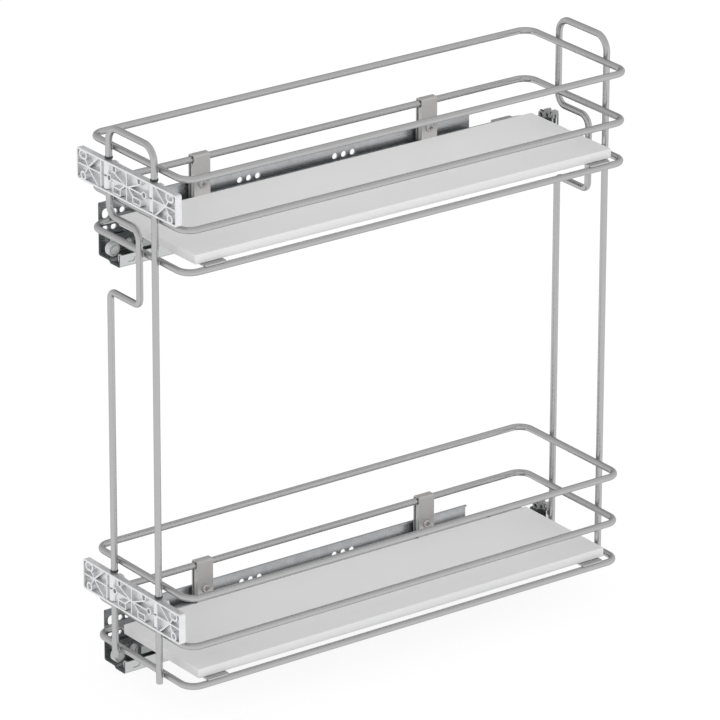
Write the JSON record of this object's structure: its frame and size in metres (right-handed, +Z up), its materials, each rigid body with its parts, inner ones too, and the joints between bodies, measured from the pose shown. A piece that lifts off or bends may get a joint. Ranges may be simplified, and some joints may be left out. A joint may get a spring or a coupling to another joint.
{
  "type": "pull-out detergent rack",
  "caption": "Tall pull-out rack with two wire baskets on board floors, hung on full-extension roller runners fixed to one cabinet side, with brackets for a door panel.",
  "frame": {"origin": "on the cabinet side's face, in the upper rail's screw row, halfway between its two groups of holes", "axes": "+X away from the cabinet side into the cabinet, +Y to the back of the cabinet, +Z up; the rack pulls out along -Y"},
  "size_m": [0.1455, 0.4734, 0.4927],
  "materials": {
    "wire_steel": "satin nickel plated wire",
    "galvanised_steel": "bright galvanised sheet, rolled",
    "strip_steel": "satin strip, stamped and folded",
    "bracket_casting": "pale silver die casting",
    "board_coating": "pale grey melamine coated board",
    "roller_nylon": "natural nylon",
    "dark_plastic": "moulded, fine grain",
    "fastener_steel": "bright zinc plated"
  },
  "bodies": {
    "cabinet_side": {"cabinet_roller_pins": "fastener_steel", "upper_cabinet_rail": "galvanised_steel", "upper_cabinet_track": "galvanised_steel", "upper_damper_housing": "dark_plastic", "upper_damper_catch": "dark_plastic", "upper_rear_bracket": "galvanised_steel", "upper_rear_stop": "dark_plastic", "lower_cabinet_rail": "galvanised_steel", "lower_cabinet_track": "galvanised_steel", "lower_damper_housing": "dark_plastic", "lower_damper_catch": "dark_plastic", "lower_rear_bracket": "galvanised_steel", "lower_rear_stop": "dark_plastic"},
    "rack": {"front_frame": "wire_steel", "rear_frame": "wire_steel", "board_screws": "fastener_steel", "hanger_screws": "fastener_steel", "clamp_screws": "fastener_steel", "drawer_roller_pins": "fastener_steel", "upper_top_loop": "wire_steel", "upper_middle_loop": "wire_steel", "upper_base_loop": "wire_steel", "upper_board": "board_coating", "upper_board_tabs": "strip_steel", "upper_front_hanger": "strip_steel", "upper_rear_hanger": "strip_steel", "upper_door_bracket": "bracket_casting", "upper_leg_clamps": "bracket_casting", "upper_drawer_rail": "galvanised_steel", "upper_striker": "strip_steel", "lower_top_loop": "wire_steel", "lower_middle_loop": "wire_steel", "lower_base_loop": "wire_steel", "lower_board": "board_coating", "lower_board_tabs": "strip_steel", "lower_front_hanger": "strip_steel", "lower_rear_hanger": "strip_steel", "lower_door_bracket": "bracket_casting", "lower_leg_clamps": "bracket_casting", "lower_drawer_rail": "galvanised_steel", "lower_striker": "strip_steel"},
    "upper_middle": {"upper_middle_rail": "galvanised_steel", "upper_middle_pins": "fastener_steel"},
    "upper_cabinet_roller": {"upper_cabinet_roller": "roller_nylon"},
    "upper_middle_front_roller": {"upper_middle_front_roller": "roller_nylon"},
    "upper_middle_second_roller": {"upper_middle_second_roller": "roller_nylon"},
    "upper_middle_rear_roller": {"upper_middle_rear_roller": "roller_nylon"},
    "upper_drawer_roller": {"upper_drawer_roller": "roller_nylon"},
    "lower_middle": {"lower_middle_rail": "galvanised_steel", "lower_middle_pins": "fastener_steel"},
    "lower_cabinet_roller": {"lower_cabinet_roller": "roller_nylon"},
    "lower_middle_front_roller": {"lower_middle_front_roller": "roller_nylon"},
    "lower_middle_second_roller": {"lower_middle_second_roller": "roller_nylon"},
    "lower_middle_rear_roller": {"lower_middle_rear_roller": "roller_nylon"},
    "lower_drawer_roller": {"lower_drawer_roller": "roller_nylon"}
  },
  "joints": [
    {"name": "rack_slide", "type": "slide", "parent": "cabinet_side", "child": "rack", "axis": [0, -1, 0], "range_m": [0, 0.44]},
    {"name": "upper_middle_slide", "type": "slide", "parent": "cabinet_side", "child": "upper_middle", "axis": [0, -1, 0], "range_m": [0, 0.22]},
    {"name": "upper_cabinet_roller_spin", "type": "hinge", "parent": "cabinet_side", "child": "upper_cabinet_roller", "pos_m": [0, -0.181, -0.02585], "axis": [1, 0, 0], "range_deg": [0, 2212]},
    {"name": "upper_middle_front_roller_spin", "type": "hinge", "parent": "upper_middle", "child": "upper_middle_front_roller", "pos_m": [0, -0.1939, -0.0243], "axis": [1, 0, 0], "range_deg": [0, 2212]},
    {"name": "upper_middle_second_roller_spin", "type": "hinge", "parent": "upper_middle", "child": "upper_middle_second_roller", "pos_m": [0, -0.1749, -0.0243], "axis": [1, 0, 0], "range_deg": [0, 2212]},
    {"name": "upper_middle_rear_roller_spin", "type": "hinge", "parent": "upper_middle", "child": "upper_middle_rear_roller", "pos_m": [0, 0.228, -0.0275], "axis": [1, 0, 0], "range_deg": [0, 2212]},
    {"name": "upper_drawer_roller_spin", "type": "hinge", "parent": "rack", "child": "upper_drawer_roller", "pos_m": [0, 0.22, -0.0259], "axis": [1, 0, 0], "range_deg": [0, 2252]},
    {"name": "lower_middle_slide", "type": "slide", "parent": "cabinet_side", "child": "lower_middle", "axis": [0, -1, 0], "range_m": [0, 0.22]},
    {"name": "lower_cabinet_roller_spin", "type": "hinge", "parent": "cabinet_side", "child": "lower_cabinet_roller", "pos_m": [0, -0.181, -0.38585], "axis": [1, 0, 0], "range_deg": [0, 2212]},
    {"name": "lower_middle_front_roller_spin", "type": "hinge", "parent": "lower_middle", "child": "lower_middle_front_roller", "pos_m": [0, -0.1939, -0.3843], "axis": [1, 0, 0], "range_deg": [0, 2212]},
    {"name": "lower_middle_second_roller_spin", "type": "hinge", "parent": "lower_middle", "child": "lower_middle_second_roller", "pos_m": [0, -0.1749, -0.3843], "axis": [1, 0, 0], "range_deg": [0, 2212]},
    {"name": "lower_middle_rear_roller_spin", "type": "hinge", "parent": "lower_middle", "child": "lower_middle_rear_roller", "pos_m": [0, 0.228, -0.3875], "axis": [1, 0, 0], "range_deg": [0, 2212]},
    {"name": "lower_drawer_roller_spin", "type": "hinge", "parent": "rack", "child": "lower_drawer_roller", "pos_m": [0, 0.22, -0.3859], "axis": [1, 0, 0], "range_deg": [0, 2252]}
  ],
  "couplings": [
    {"joint": "upper_middle_slide", "follows": "rack_slide", "ratio": 0.5},
    {"joint": "upper_cabinet_roller_spin", "follows": "rack_slide", "rad_per_m": 87.719},
    {"joint": "upper_middle_front_roller_spin", "follows": "rack_slide", "rad_per_m": 87.719},
    {"joint": "upper_middle_second_roller_spin", "follows": "rack_slide", "rad_per_m": 87.719},
    {"joint": "upper_middle_rear_roller_spin", "follows": "rack_slide", "rad_per_m": 87.719},
    {"joint": "upper_drawer_roller_spin", "follows": "rack_slide", "rad_per_m": 89.286},
    {"joint": "lower_middle_slide", "follows": "rack_slide", "ratio": 0.5},
    {"joint": "lower_cabinet_roller_spin", "follows": "rack_slide", "rad_per_m": 87.719},
    {"joint": "lower_middle_front_roller_spin", "follows": "rack_slide", "rad_per_m": 87.719},
    {"joint": "lower_middle_second_roller_spin", "follows": "rack_slide", "rad_per_m": 87.719},
    {"joint": "lower_middle_rear_roller_spin", "follows": "rack_slide", "rad_per_m": 87.719},
    {"joint": "lower_drawer_roller_spin", "follows": "rack_slide", "rad_per_m": 89.286}
  ]
}
